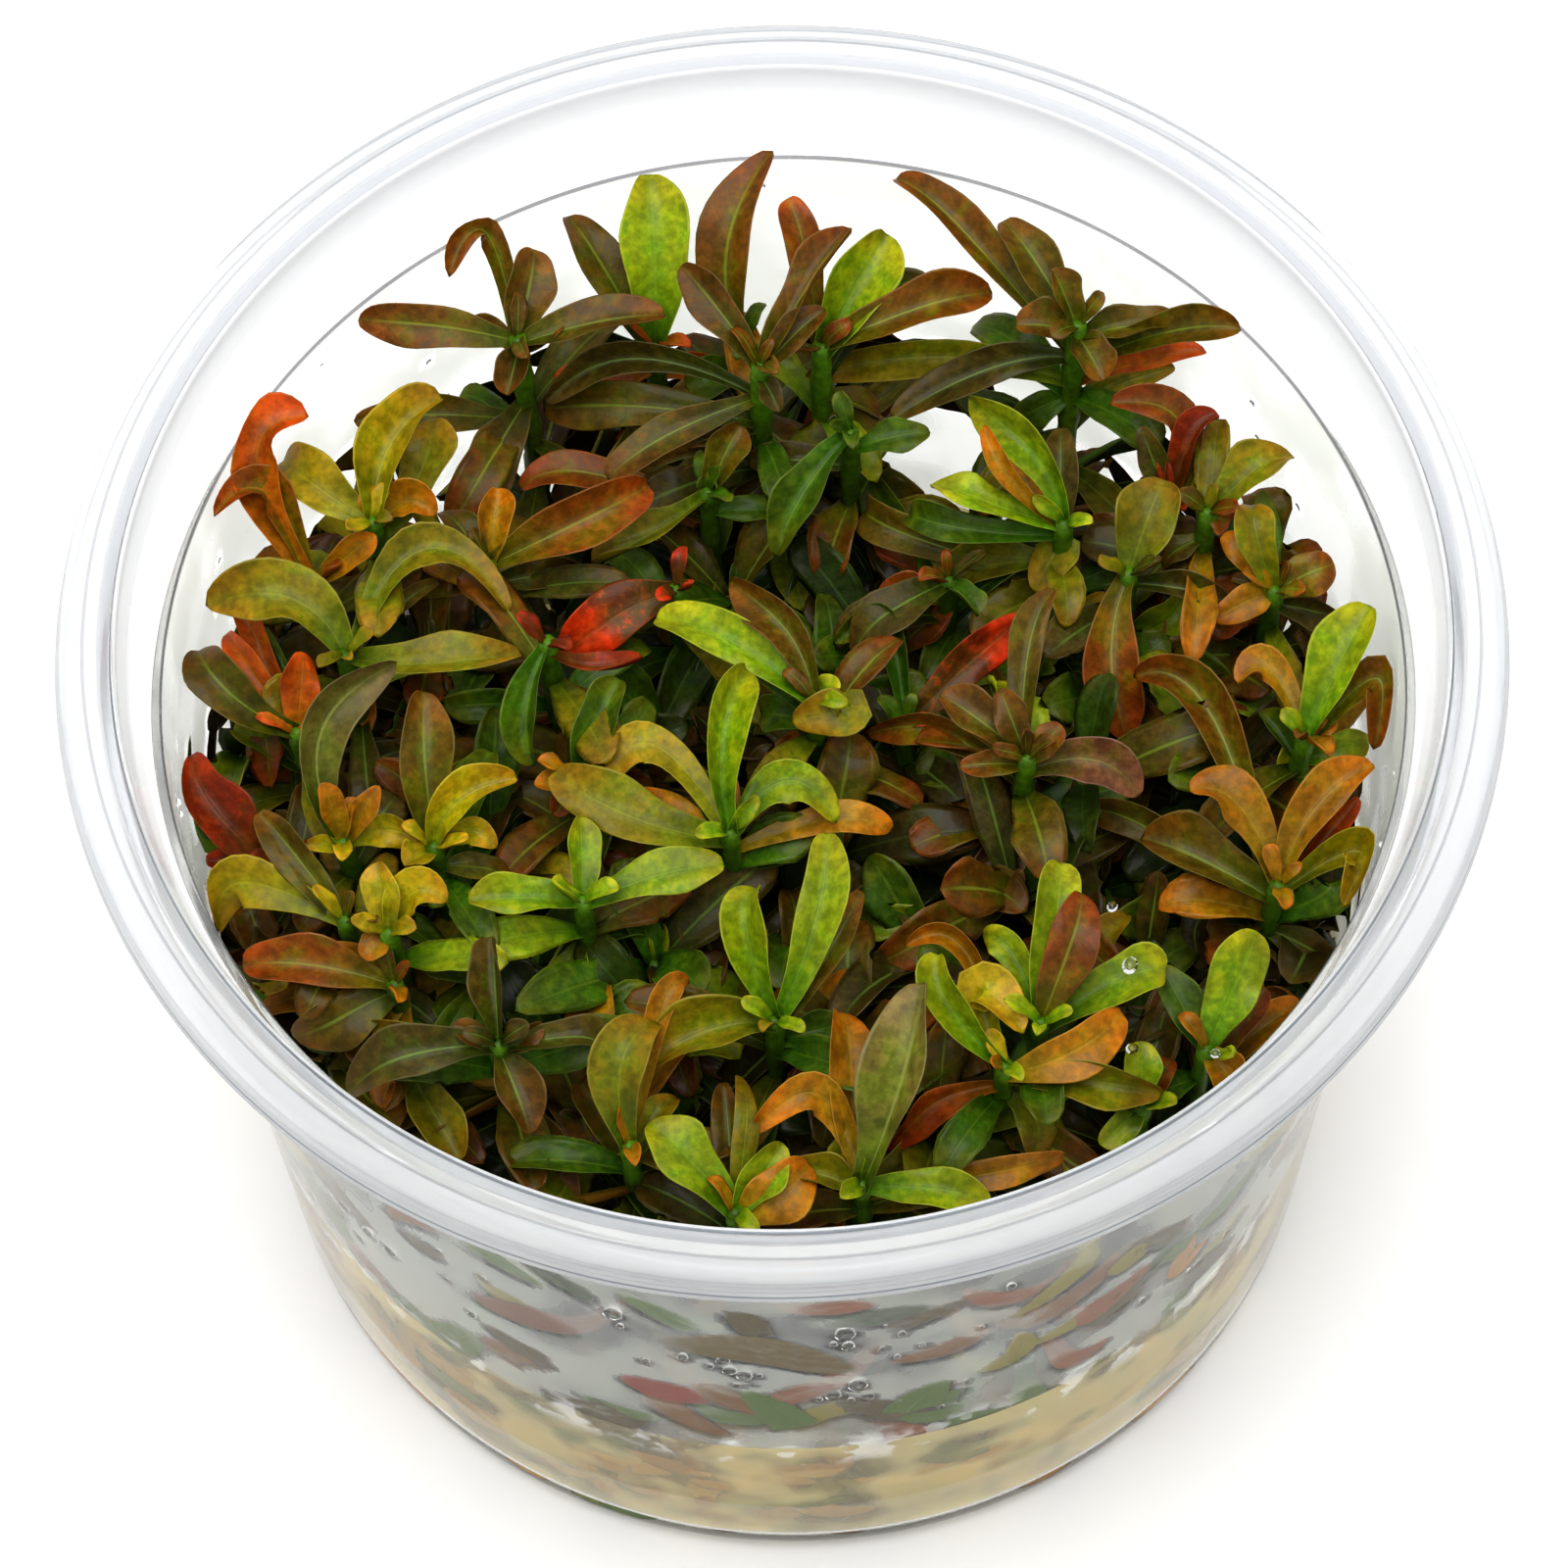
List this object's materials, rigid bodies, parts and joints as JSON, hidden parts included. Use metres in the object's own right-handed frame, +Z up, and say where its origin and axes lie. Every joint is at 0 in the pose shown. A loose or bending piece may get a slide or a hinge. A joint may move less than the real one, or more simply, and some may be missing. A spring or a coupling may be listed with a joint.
{
  "type": "aquarium plant in a growing cup",
  "caption": "Round open plastic cup with a stepped rim, a layer of pale gel on its floor, and small leafy reddish green shoots of an aquarium stem plant standing in it.",
  "frame": {"origin": "middle of the cup's flat underside", "axes": "+Z up along the cup's axis, -Y towards the side that the picture looks from"},
  "size_m": [0.1, 0.1, 0.07],
  "materials": {
    "cup_plastic": "clear, slightly milky moulded plastic, smooth and glossy, cloudier and blue grey where the rim is thick",
    "gel": "pale yellow growing gel, cloudy inside, wet on top",
    "leaf_lime": "fresh yellow green leaf, soft wet shine",
    "leaf_green": "fresh olive green leaf, soft wet shine",
    "leaf_orange": "amber to red leaf with a lighter edge, soft wet shine",
    "leaf_brown": "red brown leaf with a lime midrib, soft wet shine",
    "leaf_purple": "dusky purple leaf with a lime midrib, soft wet shine"
  },
  "bodies": {
    "root": {"cup": "cup_plastic", "gel": "gel", "shoot_back_left_cross": "leaf_purple", "shoot_back_mid_cross": "leaf_purple", "shoot_back_right_cross": "leaf_brown", "shoot_back_left_upright": "leaf_orange", "shoot_back_mid_upright": "leaf_brown", "shoot_back_mid_long": "leaf_brown", "shoot_back_right_red": "leaf_brown", "shoot_right_olive": "leaf_brown", "shoot_right_back": "leaf_brown", "shoot_right_orange": "leaf_brown", "shoot_right_green": "leaf_lime", "shoot_right_amber": "leaf_brown", "shoot_right_front_oval": "leaf_orange", "shoot_right_purple": "leaf_purple", "shoot_mid_red": "leaf_orange", "shoot_mid_green_fan": "leaf_green", "shoot_mid_dark": "leaf_green", "shoot_mid_drooping": "leaf_green", "shoot_mid_green": "leaf_green", "shoot_mid_arch": "leaf_lime", "shoot_centre_green": "leaf_lime", "shoot_front_pair": "leaf_lime", "shoot_front_right_fan": "leaf_orange", "shoot_front_right_upright": "leaf_lime", "shoot_front_right_cup": "leaf_lime", "shoot_front_grey_paddle": "leaf_orange", "shoot_front_mid": "leaf_lime", "shoot_front_left_brown": "leaf_green", "shoot_front_left_cross": "leaf_purple", "shoot_front_left_olive": "leaf_green", "shoot_left_front_rust": "leaf_brown", "shoot_left_yellow_fold": "leaf_lime", "shoot_left_red": "leaf_orange", "shoot_left_front_yellow": "leaf_lime", "shoot_left_curl": "leaf_orange", "shoot_left_mid_yellow": "leaf_lime", "shoot_mid_hanging": "leaf_green", "shoot_mid_speckled": "leaf_orange", "shoot_mid_low_green": "leaf_green", "shoot_left_spread": "leaf_green", "shoot_left_wall": "leaf_orange", "shoot_left_upper": "leaf_orange", "shoot_left_olive": "leaf_lime", "shoot_left_russet": "leaf_brown", "shoot_back_mid_low": "leaf_green", "shoot_front_wall_left": "leaf_purple", "shoot_front_wall_mid_left": "leaf_purple", "shoot_front_wall_mid": "leaf_green", "shoot_front_wall_mid_right": "leaf_green", "shoot_front_wall_right": "leaf_brown", "shoot_front_wall_far_right": "leaf_green"}
  },
  "joints": []
}
